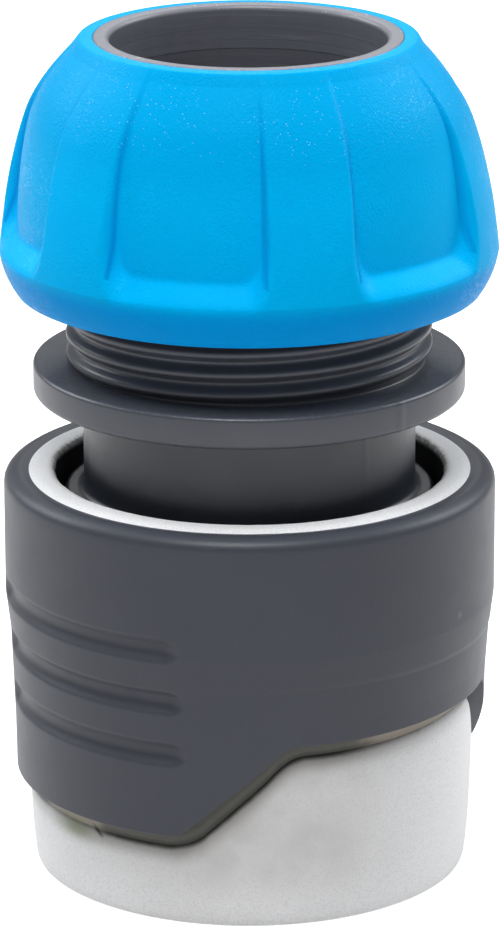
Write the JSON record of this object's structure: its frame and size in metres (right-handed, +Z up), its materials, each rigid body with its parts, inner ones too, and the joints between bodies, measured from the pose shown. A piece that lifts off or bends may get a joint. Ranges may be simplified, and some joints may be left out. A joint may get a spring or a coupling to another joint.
{
  "type": "garden hose quick connector",
  "caption": "Garden hose quick connector: screwed nut with collet clamps a hose on a barbed tail, and a sprung sleeve with locking claws holds a plug.",
  "frame": {"origin": "middle of the base, on the connector's axis at the plug end", "axes": "+Z up along the axis from the plug end to the hose end, -Y to the front that the picture shows, +X to its right"},
  "size_m": [0.0376, 0.0376, 0.0645],
  "materials": {
    "body": "satin moulded slate grey plastic",
    "nut": "satin moulded grey plastic",
    "nut_grip": "fine-grained soft bright blue moulding",
    "sleeve_shell": "satin moulded off-white plastic",
    "sleeve_grip": "satin soft dark grey moulding",
    "claw": "smooth moulded white plastic",
    "spring": "drawn stainless wire",
    "seal": "smooth black rubber"
  },
  "bodies": {
    "body": {"main_body": "body", "mouth_ring": "body", "hose_tail": "body", "tail_seal": "seal", "return_spring": "spring"},
    "sleeve": {"sleeve_shell": "sleeve_shell", "sleeve_grip": "sleeve_grip"},
    "front_claw": {"claw_front": "claw"},
    "right_claw": {"claw_right": "claw"},
    "back_claw": {"claw_back": "claw"},
    "left_claw": {"claw_left": "claw"},
    "collet": {"clamp_collet": "nut"},
    "nut": {"nut_core": "nut", "nut_grip": "nut_grip"}
  },
  "joints": [
    {"name": "sleeve_slide", "type": "slide", "parent": "body", "child": "sleeve", "axis": [0, 0, 1], "range_m": [0, 0.0045], "stiffness_N_per_m": 1200, "springref_m": -0.0065, "deforming": ["return_spring"]},
    {"name": "front_claw_slide", "type": "slide", "parent": "body", "child": "front_claw", "axis": [0, -1, 0], "range_m": [0, 0.0015]},
    {"name": "right_claw_slide", "type": "slide", "parent": "body", "child": "right_claw", "axis": [1, 0, 0], "range_m": [0, 0.0015]},
    {"name": "back_claw_slide", "type": "slide", "parent": "body", "child": "back_claw", "axis": [0, 1, 0], "range_m": [0, 0.0015]},
    {"name": "left_claw_slide", "type": "slide", "parent": "body", "child": "left_claw", "axis": [-1, 0, 0], "range_m": [0, 0.0015]},
    {"name": "nut_travel", "type": "slide", "parent": "body", "child": "collet", "axis": [0, 0, -1], "range_m": [-0.0031, 0.00505]},
    {"name": "nut_turn", "type": "hinge", "parent": "collet", "child": "nut", "pos_m": [0, 0, 0.05], "axis": [0, 0, -1], "range_deg": [-720, 1170]}
  ],
  "couplings": [
    {"joint": "front_claw_slide", "follows": "sleeve_slide", "ratio": 0.3333},
    {"joint": "right_claw_slide", "follows": "sleeve_slide", "ratio": 0.3333},
    {"joint": "back_claw_slide", "follows": "sleeve_slide", "ratio": 0.3333},
    {"joint": "left_claw_slide", "follows": "sleeve_slide", "ratio": 0.3333},
    {"joint": "nut_travel", "follows": "nut_turn", "m_per_rad": 0.00024669}
  ]
}
